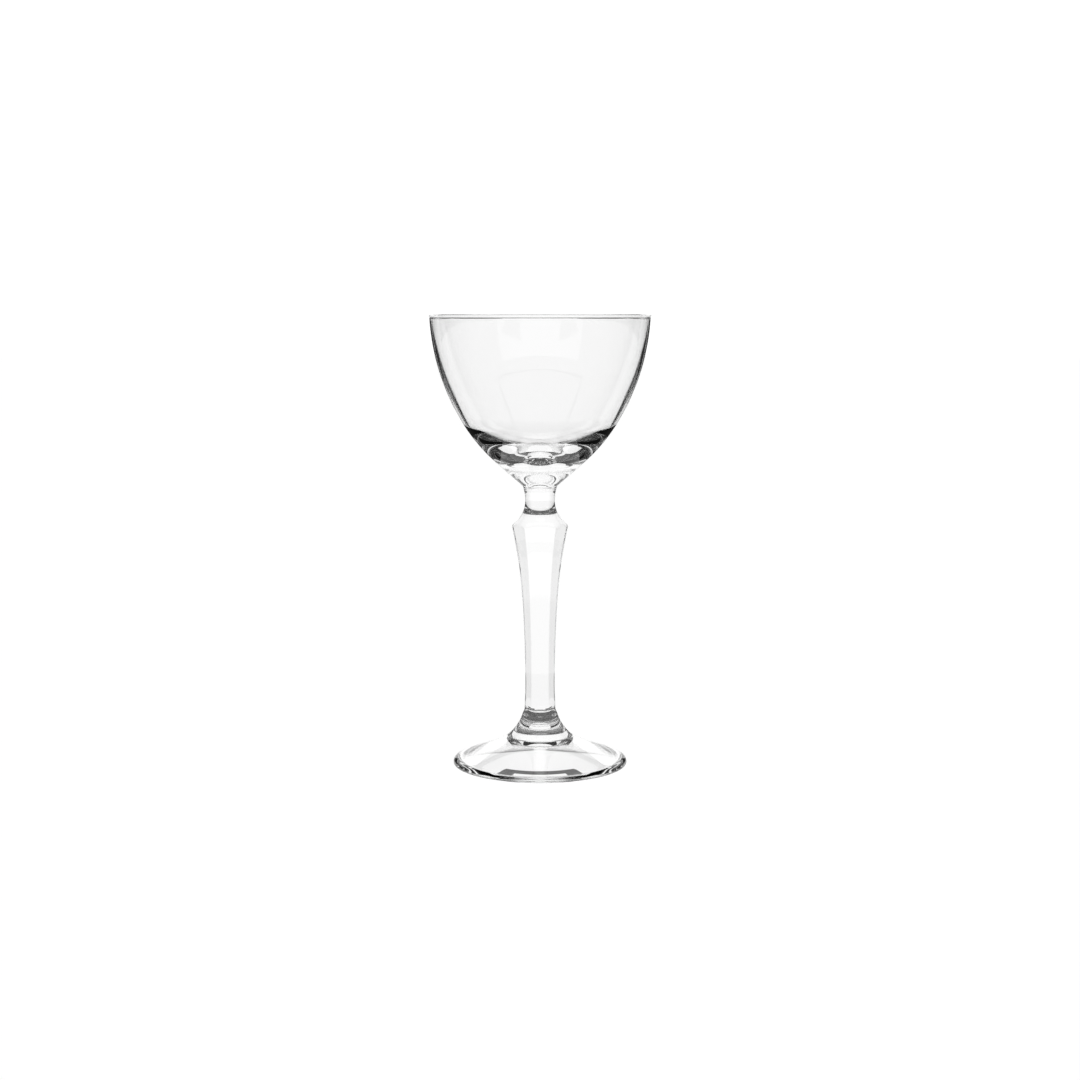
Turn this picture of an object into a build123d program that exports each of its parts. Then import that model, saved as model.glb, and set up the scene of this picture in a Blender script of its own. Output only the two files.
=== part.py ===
"""Stemmed cocktail glass: a small deep bowl on a six-sided pressed stem and a round foot.

The glass is three pieces of clear glass that are welded hot: bowl, stem and foot. They meet at two flat
weld faces, one under the bowl and one on top of the foot.

Millimetres, +Z up. The origin is the centre of the ring that the foot rests on. Outlines are drawn in the
XZ plane, with X as the radius, and turned about Z.
"""
import os
from math import cos, radians, sin, tan

from build123d import *

# Foot, heights above the table
foot_diameter = 62.2
foot_edge_height = 1.1
foot_edge_thickness = 3.55
foot_edge_depth = 3.4
foot_edge_radius_below = 3.77
foot_edge_radius_above = 1.6
rest_inset = 2.1
rest_width = 1.5
hollow_slope = 22.0
hollow_rounding = 30.0
foot_height = 10.5
foot_top_crown = 0.42

# Weld between the foot and the stem, and between the stem and the bowl
foot_weld_diameter = 23.4
neck_weld_diameter = 11.6

# Stem, heights above the foot's weld, facet sizes across flats
stem_length = 88.8
facet_count = 6
heel_flats = 9.92
heel_height = 10.1
heel_runout_radius = 3.0
flare_angle = 10.0
waist_flats = 9.15
waist_height = 18.5
middle_flats = 10.8
middle_height = 49.0
shoulder_flats = 17.14
shoulder_height = 75.2
cove_radius = 10.8
neck_waist_diameter = 10.46
neck_waist_drop = 4.0

# Bowl, heights above the neck's weld
bowl_height = 61.4
rim_diameter = 78.2
lip_radius = 0.65
lip_join_angle = 50.0
lip_root_inset = 0.8
lip_root_drop = 1.9
belly_diameter = 54.3
belly_height = 23.0
belly_wall = 1.9
cone_angle = 41.3
cone_diameter = 31.0
collar_height = 0.75
collar_fillet = 1.5
bottom_thickness = 11.2
bottom_corner_radius = 16.0

# How far the facet cutters reach past the shoulder, and the turn of the cove on the uncut stem
cutter_reach = 20.0
cove_turn = 75.0

# Outside diameter of the ring that the foot rests on
rest_diameter = foot_diameter - 2 * rest_inset

# Heights of the two welds and of the rim
stem_base = foot_height
bowl_base = stem_base + stem_length
rim_height = bowl_base + bowl_height


def turned(*edges):
    """The solid that a closed outline of edges makes when it is turned about Z."""
    outline = make_face(Wire(edges))
    return revolve(Plane.XZ * outline, axis=Axis.Z)


def left_of(heading):
    """The direction at right angles to the left of a heading."""
    return Vector(-heading.Y, heading.X)


def touching_arcs(start, heading, radius, end, end_heading, turn):
    """Two arcs that touch: the first leaves start with a radius, the second ends along end_heading.

    turn is 1 for arcs that turn left and -1 for arcs that turn right.
    """
    start_centre = start + left_of(heading) * turn * radius
    end_side = left_of(end_heading) * turn
    gap = start_centre - end
    end_radius = (gap.length**2 - radius**2) / (2 * (gap.dot(end_side) - radius))
    end_centre = end + end_side * end_radius
    touch_way = (start_centre - end_centre).normalized()
    if end_radius < radius:
        touch_way = -touch_way
    first = TangentArc(start, start_centre + touch_way * radius, tangent=heading)
    second = TangentArc(first @ 1, end, tangent=first % 1)
    return first, second


def make_foot():
    """A pressed disc: hollow underside, flat ring to rest on, rounded edge, top that rises to the weld."""
    outward = Vector(1, 0)
    upward = Vector(0, 1)
    rest_inner = Vector(rest_diameter / 2 - rest_width, 0)
    rest_outer = Vector(rest_diameter / 2, 0)
    rounding_edge = hollow_rounding * sin(radians(hollow_slope))
    rounding_height = (rest_inner.X - rounding_edge) * tan(radians(hollow_slope))
    hollow_top = rounding_height + hollow_rounding * (1 - cos(radians(hollow_slope)))
    edge = Vector(foot_diameter / 2, foot_edge_height)
    edge_top = Vector(foot_diameter / 2 - foot_edge_depth, foot_edge_thickness)
    weld_edge = (foot_weld_diameter / 2, foot_height)

    rounding = TangentArc((0, hollow_top), (rounding_edge, rounding_height), tangent=outward)
    hollow = Line(rounding @ 1, rest_inner)
    rest = Line(rest_inner, rest_outer)
    top = SagittaArc(edge_top, weld_edge, -foot_top_crown)
    edge_below = touching_arcs(rest_outer, outward, foot_edge_radius_below, edge, upward, 1)
    edge_above = touching_arcs(edge, upward, foot_edge_radius_above, edge_top, top % 0, 1)
    weld = Line(weld_edge, (0, foot_height))
    core = Line((0, foot_height), (0, hollow_top))
    return turned(rounding, hollow, rest, *edge_below, *edge_above, top, weld, core)


def make_round_stem():
    """The stem before its facets: flare, wide shaft, coved shoulder and waisted neck."""
    flare_top_radius = heel_flats / 2 / cos(radians(180 / facet_count))
    flare_top = (flare_top_radius, stem_base + heel_height)
    flare_foot = (foot_weld_diameter / 2, stem_base)
    flare_start = (sin(radians(flare_angle)), -cos(radians(flare_angle)))
    neck_waist = (neck_waist_diameter / 2, bowl_base - neck_waist_drop)
    neck_top = (neck_weld_diameter / 2, bowl_base)

    base = Line((0, stem_base), flare_foot)
    flare = TangentArc(flare_top, flare_foot, tangent=flare_start)
    cove = CenterArc((neck_waist[0] + cove_radius, neck_waist[1]), cove_radius, 180, cove_turn)
    shaft = Line(flare_top, cove @ 1)
    neck = TangentArc(neck_waist, neck_top, tangent=(0, 1))
    weld = Line(neck_top, (0, bowl_base))
    core = Line((0, bowl_base), (0, stem_base))
    return turned(base, flare, shaft, cove, neck, weld, core)


def make_facet_cutter():
    """A block outside one facet. Its inner face follows the facet's curve and is straight across."""
    heel = (heel_flats / 2, stem_base + heel_height)
    waist = (waist_flats / 2, stem_base + waist_height)
    middle = (middle_flats / 2, stem_base + middle_height)
    shoulder = (shoulder_flats / 2, stem_base + shoulder_height)

    upper = TangentArc(waist, middle, tangent=(0, 1))
    swell = TangentArc(middle, shoulder, tangent=upper % 1)
    lower = TangentArc(waist, heel, tangent=(0, -1))
    runout = JernArc(heel, lower % 1, heel_runout_radius, 90)
    above = Line(shoulder, swell @ 1 + (swell % 1) * cutter_reach)
    outer = shoulder_flats / 2 + cutter_reach
    back = Polyline(above @ 1, (outer, (above @ 1).Y), (outer, (runout @ 1).Y), runout @ 1)
    outline = make_face(Wire([runout, lower, upper, swell, above, *back.edges()]))
    return extrude(Plane.XZ * outline, amount=cutter_reach, both=True)


def make_stem():
    """The pressed stem: six facets that run out into the round flare below and the round cove above."""
    stem = make_round_stem()
    cutter = make_facet_cutter()
    for facet in range(facet_count):
        stem = stem - Rot(0, 0, (facet + 0.5) * 360 / facet_count) * cutter
    return stem


def make_bowl():
    """The blown bowl: short collar, cone, belly and side outside, fire-polished lip, thick solid bottom.

    The lip is a bead. Inside, a short hollow arc that touches the bead joins it to the thin wall.
    """
    weld_edge = (neck_weld_diameter / 2, bowl_base)
    collar_top = (neck_weld_diameter / 2, bowl_base + collar_height)
    cone_run = (cone_diameter - neck_weld_diameter) / 2
    cone_top = (cone_diameter / 2, collar_top[1] + cone_run * tan(radians(cone_angle)))
    belly = Vector(belly_diameter / 2, bowl_base + belly_height)
    lip_centre = Vector(rim_diameter / 2 - lip_radius, rim_height - lip_radius)
    lip_join = lip_centre + Vector(lip_radius, 0).rotate(Axis.Z, -lip_join_angle)
    lip_top = lip_centre + Vector(0, lip_radius)
    lip_root = Vector(rim_diameter / 2 - lip_root_inset, rim_height - lip_root_drop)
    inside_bottom = Vector(0, bowl_base + bottom_thickness)

    collar = FilletPolyline(weld_edge, collar_top, cone_top, radius=collar_fillet)
    belly_arc = TangentArc(cone_top, belly, tangent=collar % 1)
    side = TangentArc(belly, lip_join, tangent=belly_arc % 1)

    belly_slope = belly_arc % 1
    inside_belly = belly + left_of(belly_slope) * belly_wall
    inside = TangentArc(inside_belly, lip_root, tangent=belly_slope)
    root_side = left_of(inside % 1)
    from_lip = lip_root - lip_centre
    root_radius = (from_lip.length**2 - lip_radius**2) / (2 * (lip_radius - from_lip.dot(root_side)))
    root_centre = lip_root + root_side * root_radius
    bead_end = lip_centre + (root_centre - lip_centre).normalized() * lip_radius
    root = TangentArc(lip_root, bead_end, tangent=inside % 1)
    bead = ThreePointArc(lip_join, lip_top, bead_end)

    inward = Vector(-1, 0)
    bottom = touching_arcs(inside_belly, -belly_slope, bottom_corner_radius, inside_bottom, inward, -1)
    core = Line(inside_bottom, (0, bowl_base))
    weld = Line((0, bowl_base), weld_edge)
    return turned(*collar.edges(), belly_arc, side, bead, root, inside, *bottom, core, weld)


os.makedirs("parts", exist_ok=True)
export_step(make_foot(), "parts/foot.step")
export_step(make_stem(), "parts/stem.step")
export_step(make_bowl(), "parts/bowl.step")
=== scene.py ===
"""Stemmed cocktail glass: bowl, six-sided stem and foot as fine surfaces of clear glass, in a white studio.

Metres, +Z up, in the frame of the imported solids. An outline is an array of complex numbers, with the radius
as the real part and the height as the imaginary part, so that a turn is a multiplication.
"""
import math

import bpy
import numpy as np
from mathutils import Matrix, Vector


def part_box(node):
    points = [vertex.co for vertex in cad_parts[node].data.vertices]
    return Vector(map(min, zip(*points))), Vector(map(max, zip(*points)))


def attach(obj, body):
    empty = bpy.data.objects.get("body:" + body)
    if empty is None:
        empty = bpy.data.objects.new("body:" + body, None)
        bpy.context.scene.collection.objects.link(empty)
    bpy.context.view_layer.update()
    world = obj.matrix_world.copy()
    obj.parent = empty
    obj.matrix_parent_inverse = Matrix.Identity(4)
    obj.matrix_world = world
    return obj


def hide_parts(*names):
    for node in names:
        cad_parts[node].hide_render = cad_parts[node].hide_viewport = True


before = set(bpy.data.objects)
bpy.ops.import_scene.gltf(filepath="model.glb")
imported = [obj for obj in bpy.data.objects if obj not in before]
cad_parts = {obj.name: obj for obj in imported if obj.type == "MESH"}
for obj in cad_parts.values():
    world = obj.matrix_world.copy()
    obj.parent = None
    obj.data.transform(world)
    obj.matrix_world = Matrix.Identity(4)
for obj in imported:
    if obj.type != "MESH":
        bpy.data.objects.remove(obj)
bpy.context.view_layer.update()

bl_info = {
    "name": "Stemmed cocktail glass",
    "version": (1, 0, 0),
    "blender": (4, 5, 0),
    "location": "3D View > Sidebar > Glass",
    "description": "Builds a clear stemmed cocktail glass and the white studio that it stands in",
    "category": "Object",
}

MM = 0.001
BODY = "root"
FOOT_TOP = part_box("foot")[1]
STEM_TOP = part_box("stem")[1]
BOWL_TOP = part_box("bowl")[1]
AROUND = 256
FACETS = 6

# Heights of the stage's sheets, just under the glass and each a hair over the last
TABLE_LEVEL = -0.05 * MM
NEAR_LEVEL = -0.03 * MM
CARD_LEVEL = -0.02 * MM
SHEET_POINTS = 65
FULL_TURN = (0, 2 * math.pi)
BEHIND_AND_IN_FRONT = (("behind", 0), ("in_front", math.pi))
BOTH_SIDES = (-1, 1)

# Shares of the bright field's width between which it dims, and of its reach between which it brightens
FIELD_DIMS = (0.5, 0.85)
FIELD_BRIGHTENS = (0.65, 0.95)


def length(name, description, default_mm):
    """A length property, given in millimetres and kept in metres."""
    return bpy.props.FloatProperty(
        name=name, description=description, default=default_mm * MM, unit="LENGTH", precision=5
    )


def angle(name, description, default_degrees):
    """An angle property, given in degrees and kept in radians."""
    return bpy.props.FloatProperty(
        name=name, description=description, default=math.radians(default_degrees), subtype="ANGLE"
    )


def number(name, description, default):
    """A plain number property."""
    return bpy.props.FloatProperty(name=name, description=description, default=default)


class FootSizes(bpy.types.PropertyGroup):
    """Sizes of the foot, heights above the table."""

    edge_height: length("Edge height", "Height of the widest place", 1.1)
    edge_top: length("Edge thickness", "Height of the top of the rounded edge", 3.55)
    edge_depth: length("Edge depth", "How far in the rounded edge ends", 3.4)
    edge_radius_below: length("Lower edge radius", "Roundness next to the ring", 3.77)
    edge_radius_above: length("Upper edge radius", "Roundness over the widest place", 1.6)
    rest_radius: length("Rest radius", "Outside radius of the ring that the glass stands on", 29.0)
    rest_width: length("Rest width", "Width of that ring", 1.5)
    hollow_slope: angle("Hollow slope", "Slope of the hollow underside", 22.0)
    hollow_centre: length("Hollow centre", "Radius of the nearly flat middle of the hollow", 10.4)
    hollow_rise: length("Hollow rise", "How far that middle rises", 0.1)
    dip: length("Dip", "How far the top lies under a straight cone", 0.42)


class StemSizes(bpy.types.PropertyGroup):
    """Sizes of the stem, heights above the foot's weld, facets as distance from the axis."""

    heel: length("Heel", "Facet distance where the facets run out", 4.96)
    heel_height: length("Heel height", "Where the facets run out", 10.1)
    runout: length("Run-out radius", "Radius of the facets' lower ends", 3.0)
    flare_angle: angle("Flare angle", "Lean of the flare where it starts", 10.0)
    waist: length("Waist", "Facet distance at the narrowest place", 4.575)
    waist_height: length("Waist height", "Height of the narrowest place", 18.5)
    middle: length("Middle", "Facet distance half way up", 5.4)
    middle_height: length("Middle height", "Height half way up", 49.0)
    shoulder: length("Shoulder", "Facet distance at the shoulder", 8.57)
    shoulder_height: length("Shoulder height", "Height of the shoulder", 75.2)
    cove: length("Cove radius", "Radius of the cove over the shoulder", 10.8)
    cove_turn: angle("Cove turn", "How far the cove turns before the facets cut it off", 75.0)
    neck: length("Neck", "Radius of the neck at its waist", 5.23)
    neck_drop: length("Neck drop", "How far the neck's waist lies under the bowl's weld", 4.0)
    softness: length("Edge softness", "Width over which a polished facet edge is rounded", 1.0)


class BowlSizes(bpy.types.PropertyGroup):
    """Sizes of the bowl, heights above the neck's weld."""

    weld_radius: length("Weld radius", "Radius of the weld to the neck", 5.8)
    lip: length("Lip radius", "Radius of the fire-polished bead at the lip", 0.65)
    lip_join: angle("Lip join", "How far under the lip's middle the side begins", 50.0)
    lip_inset: length("Lip inset", "How far in from the rim the thin wall ends", 0.8)
    lip_drop: length("Lip drop", "How far under the rim the thin wall ends", 1.9)
    belly: length("Belly", "Outside radius at the belly", 27.15)
    belly_height: length("Belly height", "Height of the belly", 23.0)
    wall: length("Wall", "Thickness at the belly", 1.9)
    cone: length("Cone", "Radius where the cone under the belly ends", 15.5)
    cone_angle: angle("Cone angle", "Slope of the cone", 41.3)
    collar: length("Collar", "Height of the collar over the weld", 0.75)
    collar_fillet: length("Collar fillet", "Radius between the collar and the cone", 1.5)
    bottom: length("Bottom", "Thickness of the solid bottom", 11.2)
    corner: length("Bottom corner", "Radius between the inside and its bottom", 16.0)


class GlassFinish(bpy.types.PropertyGroup):
    """How the glass looks."""

    tint: bpy.props.StringProperty(name="Tint", description="Colour of the glass, sRGB", default="FEFEFE")
    ior: number("IOR", "Refractive index of soda-lime glass", 1.52)
    wave: length("Wave", "Spacing of the soft waves that pressing leaves", 9.0)
    wave_depth: length("Wave depth", "Depth of those waves", 0.004)


class StudioSettings(bpy.types.PropertyGroup):
    """Camera, table, walls and light."""

    distance: length("Camera distance", "From the glass's axis to the camera", 690.0)
    height: length("Camera height", "Above the table", 163.0)
    tilt: angle("Camera tilt", "Downward tilt of the camera", 6.78)
    lens: number("Lens", "Focal length in millimetres on a 36 mm sensor", 65.23)
    reach: length("Reach", "Radius of the white table and of the white wall round it", 1000.0)
    wall_height: length("Wall height", "Height of the wall behind and in front", 620.0)
    ceiling: length("Ceiling", "Height of the white ceiling", 800.0)
    ceiling_width: angle("Ceiling width", "How far the ceiling reaches on both sides", 60.0)
    field_glow: number("Field glow", "Brightness of the white that shows through the glass", 1.02)
    field_far: number("Field far", "How many times brighter the far end of the field is", 1.055)
    field_side: number("Field side", "Share of that brightness at the sides of the field", 0.88)
    field_width: angle("Field width", "How far the field reaches on both sides of the line of sight", 49.0)
    field_near: length("Field at the sides", "How far the field reaches on the table at the sides", 550.0)
    backdrop: length("Backdrop", "Radius of the white table and backdrop that the camera sees", 6000.0)
    table_glow: number("Table glow", "Brightness of that table", 1.0)
    table_colour: bpy.props.StringProperty(
        name="Table colour", description="Colour by which that table takes shade, sRGB", default="7C7C7C"
    )
    surround_glow: number("Surround glow", "Brightness of that backdrop", 1.2)
    # Room glow also sets the black painted shade under the foot's edge and the black strips and card.
    room_glow: number("Room glow", "Brightness of the dark room and of black cloth", 0.035)
    bounces: bpy.props.IntProperty(
        name="Bounces", description="How often light may be thrown back inside the glass", default=12
    )
    passes: bpy.props.IntProperty(
        name="Passes", description="How often light may pass or meet a surface of the glass", default=16
    )
    strip_offset: length("Strip offset", "From the line of sight to the near end of a black strip", 177.0)
    strip_spread: length("Strip spread", "How much further out that strip is where it turns straight", 104.0)
    strip_near: length("Strip near end", "How far from the glass a strip begins", 300.0)
    strip_far: length("Strip turn", "How far from the glass it turns straight", 540.0)
    strip_end: length("Strip far end", "How far from the glass it ends", 756.0)
    strip_width: length("Strip width", "Width of a strip", 140.0)
    # The near table's dullness to light turned in the glass is painted shade under the glass.
    near_field: length("Near field", "Radius of the table that is dull to light turned in the glass", 85.0)
    near_glow: number("Near glow", "Brightness of that table for such light", 0.12)
    side_height: length("Side height", "Height of the low white wall at the sides", 330.0)
    side_glow: number("Side glow", "Brightness of that low wall", 0.92)
    card_near: length("Card near end", "From the axis to the black card that lies in front", 45.0)
    card_far: length("Card far end", "From the axis to the far end of that card", 200.0)
    card_width: angle("Card width", "How far that card reaches on both sides", 54.0)
    shade_start: length("Shade start", "Inside radius of the shade under the foot's edge", 27.6)
    shade_front: length("Shade front", "Inside radius of the shade under the foot's front", 20.2)
    shade_band: length("Shade band", "Outside radius of that band of shade", 23.2)
    shade_width: angle("Shade width", "How far the front shade reaches on both sides", 35.0)
    shade_gap: angle("Shade gap", "Half the gap of light straight in front", 22.0)
    shade_back: angle("Shade back", "How far the shade behind reaches on both sides", 42.0)
    shade_slit: angle("Shade slit", "Half the slit of light straight behind", 5.0)
    # This grey is painted shade on the table under the foot's front.
    grey_shade_glow: number("Felt glow", "Brightness of the grey shade under the foot's front", 0.13)
    mirror_near: length("Mirror near", "Half the width of the table that shines back", 90.0)
    mirror_width: angle("Mirror width", "How far the low wall that shines back reaches to a side", 16.0)
    mirror_low: length("Mirror low", "Height of that low wall", 267.0)


def arc(start, heading, end, count):
    """Points of the circular arc that leaves start along heading and ends at end, and its heading there.

    The chord to a point that is a share t along the arc is the whole chord, shortened to
    sin(t h) / sin(h) of its length and turned back by (1 - t) h, where h is the angle from heading to chord.
    """
    chord = end - start
    half = np.angle(chord / heading)
    share = np.linspace(0, 1, count)
    points = start + chord * np.sin(share * half) / np.sin(half) * np.exp(1j * (share - 1) * half)
    return points, heading * np.exp(2j * half)


def two_arcs(start, heading, radius, end, end_heading, count):
    """Points of two arcs that turn left and touch: the first has a radius, the second ends along end_heading.

    The second centre lies on the left of end at the distance where the two circles touch from inside.
    """
    centre = start + 1j * heading * radius
    gap = centre - end
    side = (gap * np.conj(1j * end_heading)).real
    far_radius = (abs(gap) ** 2 - radius**2) / (2 * (side - radius))
    far_centre = end + 1j * end_heading * far_radius
    touch_way = (centre - far_centre) / abs(centre - far_centre) * np.sign(far_radius - radius)
    touch = centre + touch_way * radius
    first, turned_heading = arc(start, heading, touch, count)
    second, _ = arc(touch, turned_heading, end, count)
    return np.concatenate([first, second[1:]])


def joined(*stretches):
    """One outline from stretches that follow on, with each shared point kept once."""
    return np.concatenate([stretches[0], *[stretch[1:] for stretch in stretches[1:]]])


def turned_rings(outline):
    """Rings of points: every outline point carried round the axis."""
    turn = np.linspace(0, 2 * np.pi, AROUND, endpoint=False)
    radius = outline.real[:, None]
    height = np.broadcast_to(outline.imag[:, None], (len(outline), AROUND))
    return np.stack([radius * np.cos(turn), radius * np.sin(turn), height], axis=-1)


def closed_piece(name, rings, low_pole, high_pole, welds):
    """An object from rings joined by quads, with a fan of triangles to a pole at each end.

    welds says for the low and the high fan whether it is a weld face, which gets the second material.
    """
    rows, columns = rings.shape[:2]
    poles = [(0, 0, low_pole), (0, 0, high_pole)]
    index = np.arange(rows * columns).reshape(rows, columns)
    right = np.roll(index, -1, axis=1)
    quads = np.stack([index[:-1], right[:-1], right[1:], index[1:]], axis=-1).reshape(-1, 4)
    low = np.stack([np.full(columns, rows * columns), right[0], index[0]], axis=-1)
    high = np.stack([index[-1], right[-1], np.full(columns, rows * columns + 1)], axis=-1)
    mesh = bpy.data.meshes.new(name)
    vertices = np.concatenate([rings.reshape(-1, 3), poles])
    mesh.from_pydata(vertices.tolist(), [], quads.tolist() + low.tolist() + high.tolist())
    is_weld = np.repeat([False, welds[0], welds[1]], [len(quads), columns, columns])
    mesh.polygons.foreach_set("use_smooth", ~is_weld)
    mesh.polygons.foreach_set("material_index", is_weld.astype(np.int32))
    mesh.update()
    piece = bpy.data.objects.new(name, mesh)
    bpy.context.scene.collection.objects.link(piece)
    return piece


def linear(hex_colour):
    """An sRGB hex colour as linear red, green, blue and alpha."""
    srgb = np.array([int(hex_colour[place:place + 2], 16) for place in (0, 2, 4)]) / 255
    scene_linear = np.where(srgb <= 0.04045, srgb / 12.92, ((srgb + 0.055) / 1.055) ** 2.4)
    return (*scene_linear.tolist(), 1.0)


def add_node(tree, kind, settings=None, inputs=None, links=None):
    """A new node: settings are its properties, inputs its socket values, links {input: (node, output)}."""
    node = tree.nodes.new(kind)
    for name, value in (settings or {}).items():
        setattr(node, name, value)
    for name, value in (inputs or {}).items():
        node.inputs[name].default_value = value
    for name, (source, output) in (links or {}).items():
        tree.links.new(source.outputs[output], node.inputs[name])
    return node


def new_material(name):
    """An empty node material and its tree."""
    material = bpy.data.materials.new(name)
    material.use_nodes = True
    material.node_tree.nodes.clear()
    return material, material.node_tree


def soda_lime_glass():
    """Clear soda-lime glass, pressed and fire-polished.

    The eye gets a colourless body, sharp reflections and, from the soft waves that the mould leaves, lines
    that aren't ruler-straight.
    """
    material = bpy.data.materials.get("soda_lime_glass")
    if material:
        return material
    finish = bpy.context.scene.glass_finish
    material, tree = new_material("soda_lime_glass")
    place = add_node(tree, "ShaderNodeTexCoord")
    waves = add_node(
        tree, "ShaderNodeTexNoise",
        inputs={"Scale": 1 / finish.wave, "Detail": 1.0, "Roughness": 0.4},
        links={"Vector": (place, "Object")},
    )
    bump = add_node(
        tree, "ShaderNodeBump",
        inputs={"Strength": 1.0, "Distance": finish.wave_depth},
        links={"Height": (waves, "Fac")},
    )
    glass = add_node(
        tree, "ShaderNodeBsdfPrincipled",
        inputs={
            "Base Color": linear(finish.tint),
            "Roughness": 0.0,
            "IOR": finish.ior,
            "Transmission Weight": 1.0,
        },
        links={"Normal": (bump, "Normal")},
    )
    add_node(tree, "ShaderNodeOutputMaterial", links={"Surface": (glass, "BSDF")})
    return material


def hot_weld():
    """Where two pieces of hot glass have run together there is no surface, so the face lets everything by."""
    material = bpy.data.materials.get("hot_weld")
    if material:
        return material
    material, tree = new_material("hot_weld")
    clear = add_node(tree, "ShaderNodeBsdfTransparent")
    add_node(tree, "ShaderNodeOutputMaterial", links={"Surface": (clear, "BSDF")})
    return material


def matt_card(name, glow, colour="000000"):
    """Matt card, table top or painted shade, lit evenly: it glows, and takes shade by its colour."""
    material, tree = new_material(name)
    paint = add_node(tree, "ShaderNodeBsdfDiffuse", inputs={"Color": linear(colour)})
    light = add_node(tree, "ShaderNodeEmission", inputs={"Strength": glow})
    both = add_node(tree, "ShaderNodeAddShader", links={0: (paint, "BSDF"), 1: (light, "Emission")})
    add_node(tree, "ShaderNodeOutputMaterial", links={"Surface": (both, "Shader")})
    return material


def bright_field():
    """White backdrop that glows through the glass, dimmer towards its sides and brighter at its far end."""
    look = bpy.context.scene.glass_studio
    material, tree = new_material("bright_field")
    place = add_node(tree, "ShaderNodeTexCoord")
    parts = add_node(tree, "ShaderNodeSeparateXYZ", links={"Vector": (place, "Object")})
    across = add_node(tree, "ShaderNodeMath", {"operation": "ABSOLUTE"}, links={0: (parts, "X")})
    along = add_node(tree, "ShaderNodeMath", {"operation": "ABSOLUTE"}, links={0: (parts, "Y")})
    bearing = add_node(
        tree, "ShaderNodeMath", {"operation": "ARCTAN2"}, links={0: (across, "Value"), 1: (along, "Value")}
    )
    falling = add_node(
        tree, "ShaderNodeMapRange",
        inputs={
            "From Min": look.field_width * FIELD_DIMS[0],
            "From Max": look.field_width * FIELD_DIMS[1],
            "To Min": look.field_glow,
            "To Max": look.field_glow * look.field_side,
        },
        links={"Value": (bearing, "Value")},
    )
    away = add_node(
        tree, "ShaderNodeVectorMath", {"operation": "LENGTH"}, links={"Vector": (place, "Object")}
    )
    rising = add_node(
        tree, "ShaderNodeMapRange",
        inputs={
            "From Min": look.reach * FIELD_BRIGHTENS[0],
            "From Max": look.reach * FIELD_BRIGHTENS[1],
            "To Min": 1.0,
            "To Max": look.field_far,
        },
        links={"Value": (away, "Value")},
    )
    glow = add_node(
        tree, "ShaderNodeMath", {"operation": "MULTIPLY"},
        links={0: (falling, "Result"), 1: (rising, "Result")},
    )
    light = add_node(tree, "ShaderNodeEmission", links={"Strength": (glow, "Value")})
    add_node(tree, "ShaderNodeOutputMaterial", links={"Surface": (light, "Emission")})
    return material


def turned_light(tree):
    """A node that is 1 for light which has been thrown back inside the glass, and 0 for other light."""
    path = add_node(tree, "ShaderNodeLightPath")
    return add_node(
        tree, "ShaderNodeMath", {"operation": "GREATER_THAN"}, {1: 0.5}, {0: (path, "Glossy Depth")}
    )


def white_dull_to_turned_light(name, bright, dull):
    """White sheet that glows: bright, but dull to light that has been thrown back inside the glass."""
    material, tree = new_material(name)
    glow = add_node(
        tree, "ShaderNodeMapRange",
        inputs={"To Min": bright, "To Max": dull},
        links={"Value": (turned_light(tree), "Value")},
    )
    light = add_node(tree, "ShaderNodeEmission", links={"Strength": (glow, "Result")})
    add_node(tree, "ShaderNodeOutputMaterial", links={"Surface": (light, "Emission")})
    return material


def black_to_turned_light():
    """Black sheet: stops only light that has been thrown back inside the glass, and lets other light by."""
    material, tree = new_material("black_to_turned_light")
    clear = add_node(tree, "ShaderNodeBsdfTransparent")
    black = add_node(
        tree, "ShaderNodeEmission", inputs={"Strength": bpy.context.scene.glass_studio.room_glow}
    )
    both = add_node(
        tree, "ShaderNodeMixShader",
        links={0: (turned_light(tree), "Value"), 1: (clear, "BSDF"), 2: (black, "Emission")},
    )
    add_node(tree, "ShaderNodeOutputMaterial", links={"Surface": (both, "Shader")})
    return material


def finish_piece(piece, node):
    """Gives a piece its materials and its body, and hides the solid that it stands for."""
    piece.data.materials.append(soda_lime_glass())
    piece.data.materials.append(hot_weld())
    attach(piece, BODY)
    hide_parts(node)


class GLASS_OT_foot(bpy.types.Operator):
    """Add the foot: hollow underside, ring to rest on, rounded edge and a top that rises to the weld"""

    bl_idname = "glass.add_foot"
    bl_label = "Add foot"

    def execute(self, context):
        size = context.scene.glass_foot
        radius = FOOT_TOP.x
        weld = STEM_TOP.x + 1j * FOOT_TOP.z
        rest_inner = size.rest_radius - size.rest_width + 0j
        cone_rise = (rest_inner.real - size.hollow_centre) * math.tan(size.hollow_slope)
        under = 1j * (cone_rise + size.hollow_rise)
        rest_outer = size.rest_radius + 0j
        widest = radius + 1j * size.edge_height
        edge_top = radius - size.edge_depth + 1j * size.edge_top
        slope = weld - edge_top
        sag = 2 * math.atan(2 * size.dip / abs(slope))
        top_start = slope / abs(slope) * np.exp(1j * sag)
        hollow, _ = arc(under, 1 + 0j, size.hollow_centre + 1j * cone_rise, 30)
        cone = np.linspace(hollow[-1], rest_inner, 30)
        below = two_arcs(rest_outer, 1 + 0j, size.edge_radius_below, widest, 1j, 14)
        above = two_arcs(widest, 1j, size.edge_radius_above, edge_top, top_start, 16)
        top, _ = arc(edge_top, top_start, weld, 60)
        outline = joined(hollow[1:], cone, np.array([rest_inner, rest_outer]), below, above, top)
        piece = closed_piece(
            "foot_pressed", turned_rings(outline), under.imag, FOOT_TOP.z, (False, True)
        )
        finish_piece(piece, "foot")
        return {"FINISHED"}


def soft_least(one, other, width):
    """The smaller of two arrays, with the crease between them rounded over a width."""
    share = np.clip(0.5 + 0.5 * (other - one) / width, 0, 1)
    return other + (one - other) * share - width * share * (1 - share)


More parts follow.
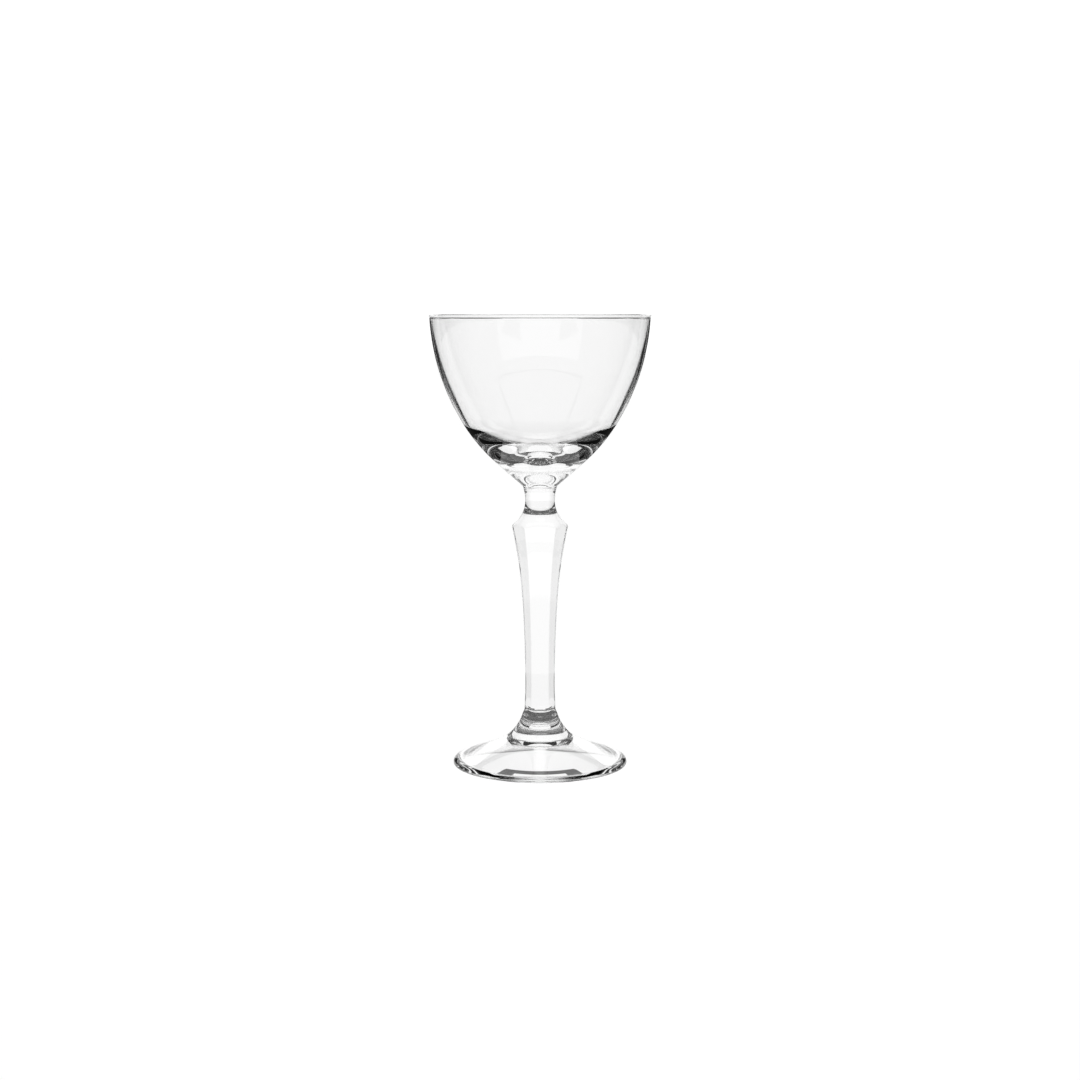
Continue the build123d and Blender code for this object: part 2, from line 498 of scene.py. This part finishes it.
class GLASS_OT_stem(bpy.types.Operator):
    """Add the stem: six facets that run out into a round flare below and a round cove above"""

    bl_idname = "glass.add_stem"
    bl_label = "Add stem"

    def execute(self, context):
        size = context.scene.glass_stem
        base = FOOT_TOP.z
        top = STEM_TOP.z
        half_facet = math.pi / FACETS

        flare_top = size.heel / math.cos(half_facet) + 1j * (base + size.heel_height)
        flare_way = math.sin(size.flare_angle) - 1j * math.cos(size.flare_angle)
        flare, _ = arc(flare_top, flare_way, STEM_TOP.x + 1j * base, 40)
        neck_waist = size.neck + 1j * (top - size.neck_drop)
        cove = neck_waist + size.cove * (1 - np.exp(1j * np.linspace(0, size.cove_turn, 60)))
        neck, _ = arc(neck_waist, 1j, context.scene.glass_bowl.weld_radius + 1j * top, 20)
        round_line = joined(flare[::-1], np.array([flare_top, cove[-1]]), cove[::-1], neck)

        heel = size.heel + 1j * (base + size.heel_height)
        waist = size.waist + 1j * (base + size.waist_height)
        middle = size.middle + 1j * (base + size.middle_height)
        shoulder = size.shoulder + 1j * (base + size.shoulder_height)
        lower, heel_way = arc(waist, -1j, heel, 30)
        upper, middle_way = arc(waist, 1j, middle, 40)
        swell, shoulder_way = arc(middle, middle_way, shoulder, 40)
        turn = np.linspace(0, math.pi / 2, 30)
        runout = heel + 1j * heel_way * size.runout * (1 - np.exp(1j * turn))
        past_neck = 2 * (top - shoulder.imag)
        beyond = np.array([shoulder, shoulder + shoulder_way * past_neck])
        facet_line = joined(runout[::-1], lower[::-1], upper, swell, beyond)

        fine = 0.12 * MM
        coarse = 0.5 * MM
        runout_start = base + size.heel_height - 4 * MM
        runout_end = base + size.heel_height + 1 * MM
        cove_start = base + size.shoulder_height - 3 * MM
        cove_end = base + size.shoulder_height + 4 * MM
        height = np.concatenate([
            np.arange(base, runout_start, coarse / 2),
            np.arange(runout_start, runout_end, fine),
            np.arange(runout_end, cove_start, coarse),
            np.arange(cove_start, cove_end, fine),
            np.arange(cove_end, top, coarse / 2),
            [top],
        ])
        # Under their lower ends the facets lie far outside the flare, so that it stays round
        clear_of_flare = 1.0
        round_radius = np.interp(height, round_line.imag, round_line.real)[:, None]
        facet = np.interp(height, facet_line.imag, facet_line.real, left=clear_of_flare)[:, None]
        # A softened edge lies lower by a quarter of its width, so the facets move out to keep it in place
        facet = facet + size.softness / 4 * math.cos(half_facet)
        turn = np.linspace(0, 2 * np.pi, AROUND, endpoint=False)
        off_facet = (turn % (2 * half_facet)) - half_facet
        nearest = facet / np.cos(off_facet)
        second = facet / np.cos(2 * half_facet - np.abs(off_facet))
        hexagon = soft_least(nearest, second, size.softness)
        radius = soft_least(hexagon, np.broadcast_to(round_radius, hexagon.shape), size.softness)
        radius = np.where(round_radius < facet - size.softness, round_radius, radius)
        rings = np.stack([
            radius * np.cos(turn),
            radius * np.sin(turn),
            np.broadcast_to(height[:, None], radius.shape),
        ], axis=-1)
        piece = closed_piece("stem_pressed", rings, base, top, (True, True))
        finish_piece(piece, "stem")
        return {"FINISHED"}


class GLASS_OT_bowl(bpy.types.Operator):
    """Add the bowl: collar, cone, belly and side outside, fire-polished lip, thick solid bottom"""

    bl_idname = "glass.add_bowl"
    bl_label = "Add bowl"

    def execute(self, context):
        size = context.scene.glass_bowl
        base = STEM_TOP.z
        weld = size.weld_radius + 1j * base
        knee = weld + 1j * size.collar
        cone_way = np.exp(1j * size.cone_angle)
        cone_top = knee + cone_way * (size.cone - size.weld_radius) / math.cos(size.cone_angle)
        cut = size.collar_fillet * math.tan((math.pi / 2 - size.cone_angle) / 2)
        belly = size.belly + 1j * (base + size.belly_height)
        lip_centre = BOWL_TOP.x - size.lip + 1j * (BOWL_TOP.z - size.lip)
        lip_join = lip_centre + size.lip * np.exp(-1j * size.lip_join)
        fillet, _ = arc(knee - 1j * cut, 1j, knee + cone_way * cut, 12)
        belly_arc, belly_way = arc(cone_top, cone_way, belly, 40)
        side, _ = arc(belly, belly_way, lip_join, 60)
        inside_belly = belly + 1j * belly_way * size.wall
        lip_root = BOWL_TOP.x - size.lip_inset + 1j * (BOWL_TOP.z - size.lip_drop)
        inside, root_way = arc(inside_belly, belly_way, lip_root, 70)
        reach = lip_root - lip_centre
        lean = (reach * np.conj(1j * root_way)).real
        hollow = (abs(reach) ** 2 - size.lip**2) / (2 * (size.lip - lean))
        hollow_centre = lip_root + 1j * root_way * hollow
        touch = hollow_centre + (lip_centre - hollow_centre) * hollow / (hollow + size.lip)
        under_lip, _ = arc(lip_root, root_way, touch, 16)
        lip_end = np.angle(touch - lip_centre) % (2 * math.pi)
        lip = lip_centre + size.lip * np.exp(1j * np.linspace(-size.lip_join, lip_end, 48))
        bottom = 1j * (base + size.bottom)
        corner = -np.conj(two_arcs(
            -np.conj(inside_belly), np.conj(belly_way), size.corner, bottom, 1 + 0j, 40
        ))
        outline = joined(
            np.array([weld]), np.array([weld, fillet[0]]), fillet, np.array([fillet[-1], cone_top]),
            belly_arc, side, lip, under_lip[::-1], inside[::-1], corner[:-1],
        )
        piece = closed_piece("bowl_blown", turned_rings(outline), base, bottom.imag, (True, False))
        finish_piece(piece, "bowl")
        return {"FINISHED"}


def stage_sheet(name, grid, material, seen_by):
    """A sheet that isn't part of the glass, from a grid of points; seen_by names the rays that it stops."""
    rows, columns = grid.shape[:2]
    index = np.arange(rows * columns).reshape(rows, columns)
    corners = [index[:-1, :-1], index[:-1, 1:], index[1:, 1:], index[1:, :-1]]
    mesh = bpy.data.meshes.new(name)
    mesh.from_pydata(grid.reshape(-1, 3).tolist(), [], np.stack(corners, axis=-1).reshape(-1, 4).tolist())
    mesh.materials.append(material)
    sheet = bpy.data.objects.new(name, mesh)
    bpy.context.scene.collection.objects.link(sheet)
    for ray in ("camera", "diffuse", "glossy", "transmission", "volume_scatter", "shadow"):
        setattr(sheet, f"visible_{ray}", ray in seen_by)


def ring_sheet(radii, bearings, heights):
    """Grid of points from one ring to another, each given by its radius and height, between two bearings.

    A bearing is the angle from +Y towards +X, so zero is straight behind the glass.
    """
    turn = np.linspace(bearings[0], bearings[1], SHEET_POINTS)
    rings = [
        np.stack([radius * np.sin(turn), radius * np.cos(turn), np.full_like(turn, height)], axis=-1)
        for radius, height in zip(radii, heights)
    ]
    return np.stack(rings)


def flat_ring(radii, bearings, level):
    """A ring sheet that lies flat at one level."""
    return ring_sheet(radii, bearings, (level, level))


def bearings_about(middle, half_width):
    """The two bearings at equal angles on both sides of a middle one."""
    return (middle - half_width, middle + half_width)


def black_strip(look, side, way):
    """Edges of a strip on the table beside the line of sight, on a side (-1 or 1) and a way (-1 or 1).

    It runs outwards from its near end, then straight away from the glass.
    """
    start = np.array([side * look.strip_offset, way * look.strip_near, NEAR_LEVEL])
    turn = start + np.array([side * look.strip_spread, way * (look.strip_far - look.strip_near), 0])
    end = np.array([turn[0], way * look.strip_end, NEAR_LEVEL])
    width = np.array([side * look.strip_width, 0, 0])
    line = np.stack([start, turn, end])
    return np.stack([line - width / 2, line + width / 2])


def add_camera(scene, look):
    """The camera at the photograph's height and tilt, and how far light is followed in the glass."""
    camera = bpy.data.objects.new("camera", bpy.data.cameras.new("camera"))
    camera.data.lens = look.lens
    camera.data.sensor_width = 36.0
    camera.data.clip_start = 0.01
    camera.data.clip_end = 30.0
    camera.location = (0, -look.distance, look.height)
    camera.rotation_euler = (math.pi / 2 - look.tilt, 0, 0)
    scene.collection.objects.link(camera)
    scene.camera = camera
    scene.view_settings.view_transform = "Standard"
    scene.cycles.max_bounces = look.passes
    scene.cycles.transmission_bounces = look.passes
    scene.cycles.glossy_bounces = look.bounces


def add_room(scene, look):
    """What the camera sees past the glass, a white table and backdrop, and the dark room round them."""
    table = matt_card("matt_white_table", look.table_glow, look.table_colour)
    floor = flat_ring((0, look.backdrop), FULL_TURN, TABLE_LEVEL)
    stage_sheet("table", floor, table, {"camera", "diffuse"})
    dome = ring_sheet(
        (look.backdrop, look.backdrop, 0), FULL_TURN, (TABLE_LEVEL, look.backdrop, look.backdrop)
    )
    stage_sheet("surround", dome, matt_card("white_surround", look.surround_glow), {"camera"})
    world = bpy.data.worlds.new("dark_room")
    world.use_nodes = True
    room = world.node_tree.nodes["Background"]
    room.inputs["Color"].default_value = (1, 1, 1, 1)
    room.inputs["Strength"].default_value = look.room_glow
    scene.world = world


def add_white_sheets(look, field):
    """White sheets that show through the glass: table, walls behind and in front, low sides, ceilings."""
    # Painted shade under the glass: the near table is dull to light turned in the glass.
    near_table_painted_shade = white_dull_to_turned_light("near_table_painted_shade", look.field_glow, look.near_glow)
    low_side_white = white_dull_to_turned_light("low_side_white", look.side_glow, look.room_glow)
    white = matt_card("white_card", look.field_glow)
    near = flat_ring((0, look.near_field), FULL_TURN, NEAR_LEVEL)
    sheets = [("near_field", near, near_table_painted_shade)]
    for name, ahead in BEHIND_AND_IN_FRONT:
        field_bearings = bearings_about(ahead, look.field_width)
        sweep_heights = (TABLE_LEVEL, TABLE_LEVEL, look.wall_height)
        sweep = ring_sheet((0, look.reach, look.reach), field_bearings, sweep_heights)
        ceiling = flat_ring((0, look.reach), bearings_about(ahead, look.ceiling_width), look.ceiling)
        sheets += [(f"field_{name}", sweep, field), (f"ceiling_{name}", ceiling, white)]
    for side in BOTH_SIDES:
        side_bearings = (side * look.field_width, side * (math.pi - look.field_width))
        table = flat_ring((0, look.field_near), side_bearings, TABLE_LEVEL)
        low_heights = (TABLE_LEVEL, TABLE_LEVEL, look.side_height)
        low = ring_sheet((look.field_near, look.reach, look.reach), side_bearings, low_heights)
        sheets += [(f"field_side_{side}", table, field), (f"low_side_{side}", low, low_side_white)]
    slip = flat_ring((look.shade_start, look.card_near), bearings_about(0, look.shade_slit), CARD_LEVEL)
    sheets.append(("slip_behind", slip, white))
    for name, grid, material in sheets:
        stage_sheet(name, grid, material, {"transmission"})


def add_dark_sheets_and_painted_shade(look):
    """Dark sheets that draw the glass's edges: black strips and a card on the table, dark only to light
    turned in the glass, and painted shade, black and grey, on the table under the foot's edge.
    """
    turned_black = black_to_turned_light()
    # Painted shade on the table under the foot's edge: black sheets along the edge, grey ones under the
    # front.
    black_shade = matt_card("black_painted_shade", look.room_glow)
    grey_shade = matt_card("grey_painted_shade", look.grey_shade_glow)
    card = flat_ring((look.card_near, look.card_far), bearings_about(math.pi, look.card_width), CARD_LEVEL)
    dark_sheets = [("card_in_front", card, turned_black)]
    for name, ahead in BEHIND_AND_IN_FRONT:
        for side in BOTH_SIDES:
            dark_sheets.append((f"strip_{name}_{side}", black_strip(look, side, math.cos(ahead)), turned_black))
    edge = (look.shade_start, look.card_near)
    band = (look.shade_front, look.shade_band)
    between = (look.shade_band, look.shade_start)
    front_start = math.pi - look.shade_width
    front_end = math.pi - look.shade_gap
    # Painted shade under the foot's edge, black and grey, given as material, radii and bearings.
    shades = {
        "edge_front": (black_shade, edge, math.pi / 2, front_end),
        "edge_back": (black_shade, edge, look.shade_slit, look.shade_back),
        "band": (grey_shade, band, front_start, math.pi),
        "between": (grey_shade, between, front_start, front_end),
    }
    for name, (shade_paint, radii, start, end) in shades.items():
        for side in BOTH_SIDES:
            shade = flat_ring(radii, (side * start, side * end), CARD_LEVEL)
            dark_sheets.append((f"shade_{name}_{side}", shade, shade_paint))
    for name, grid, material in dark_sheets:
        stage_sheet(name, grid, material, {"transmission"})


def add_mirrored_sheets(look, field):
    """White sheets that only show as reflections on the glass: a wall behind it and the table round it."""
    walls = (look.reach, look.reach)
    high = ring_sheet(walls, bearings_about(0, look.field_width), (look.mirror_low, look.wall_height))
    low = ring_sheet(walls, bearings_about(0, look.mirror_width), (TABLE_LEVEL, look.mirror_low))
    across = np.array([-look.mirror_near, look.mirror_near])
    along = np.array([-look.shade_start, look.reach / 2])
    table = np.stack(np.broadcast_arrays(across[:, None], along[None, :], TABLE_LEVEL), axis=-1)
    for name, grid in (("high_wall", high), ("low_wall", low), ("table", table)):
        stage_sheet(f"mirrored_{name}", grid, field, {"glossy"})


class GLASS_OT_studio(bpy.types.Operator):
    """Add the camera and the studio: white table, walls and ceiling, dark sheets that draw the edges, and
    painted shade under the foot
    """

    bl_idname = "glass.add_studio"
    bl_label = "Add studio"

    def execute(self, context):
        look = context.scene.glass_studio
        field = bright_field()
        add_camera(context.scene, look)
        add_room(context.scene, look)
        add_white_sheets(look, field)
        add_dark_sheets_and_painted_shade(look)
        add_mirrored_sheets(look, field)
        return {"FINISHED"}


class GLASS_PT_panel(bpy.types.Panel):
    """Sizes and finish of the glass, and the buttons that build it"""

    bl_label = "Stemmed cocktail glass"
    bl_idname = "GLASS_PT_panel"
    bl_space_type = "VIEW_3D"
    bl_region_type = "UI"
    bl_category = "Glass"

    def draw(self, context):
        for title, name, operator in PARTS:
            box = self.layout.box()
            box.label(text=title)
            group = getattr(context.scene, name)
            for field in group.__annotations__:
                box.prop(group, field)
            if operator:
                box.operator(operator)


PARTS = (
    ("Glass", "glass_finish", None),
    ("Foot", "glass_foot", "glass.add_foot"),
    ("Stem", "glass_stem", "glass.add_stem"),
    ("Bowl", "glass_bowl", "glass.add_bowl"),
    ("Studio", "glass_studio", "glass.add_studio"),
)
GROUPS = {
    "glass_finish": GlassFinish,
    "glass_foot": FootSizes,
    "glass_stem": StemSizes,
    "glass_bowl": BowlSizes,
    "glass_studio": StudioSettings,
}
CLASSES = (
    *GROUPS.values(), GLASS_OT_foot, GLASS_OT_stem, GLASS_OT_bowl, GLASS_OT_studio, GLASS_PT_panel,
)


def register():
    for item in CLASSES:
        bpy.utils.register_class(item)
    for name, group in GROUPS.items():
        setattr(bpy.types.Scene, name, bpy.props.PointerProperty(type=group))


def unregister():
    for name in GROUPS:
        delattr(bpy.types.Scene, name)
    for item in reversed(CLASSES):
        bpy.utils.unregister_class(item)


def main():
    register()
    bpy.ops.glass.add_foot()
    bpy.ops.glass.add_stem()
    bpy.ops.glass.add_bowl()
    bpy.ops.glass.add_studio()


if __name__ == "__main__":
    main()
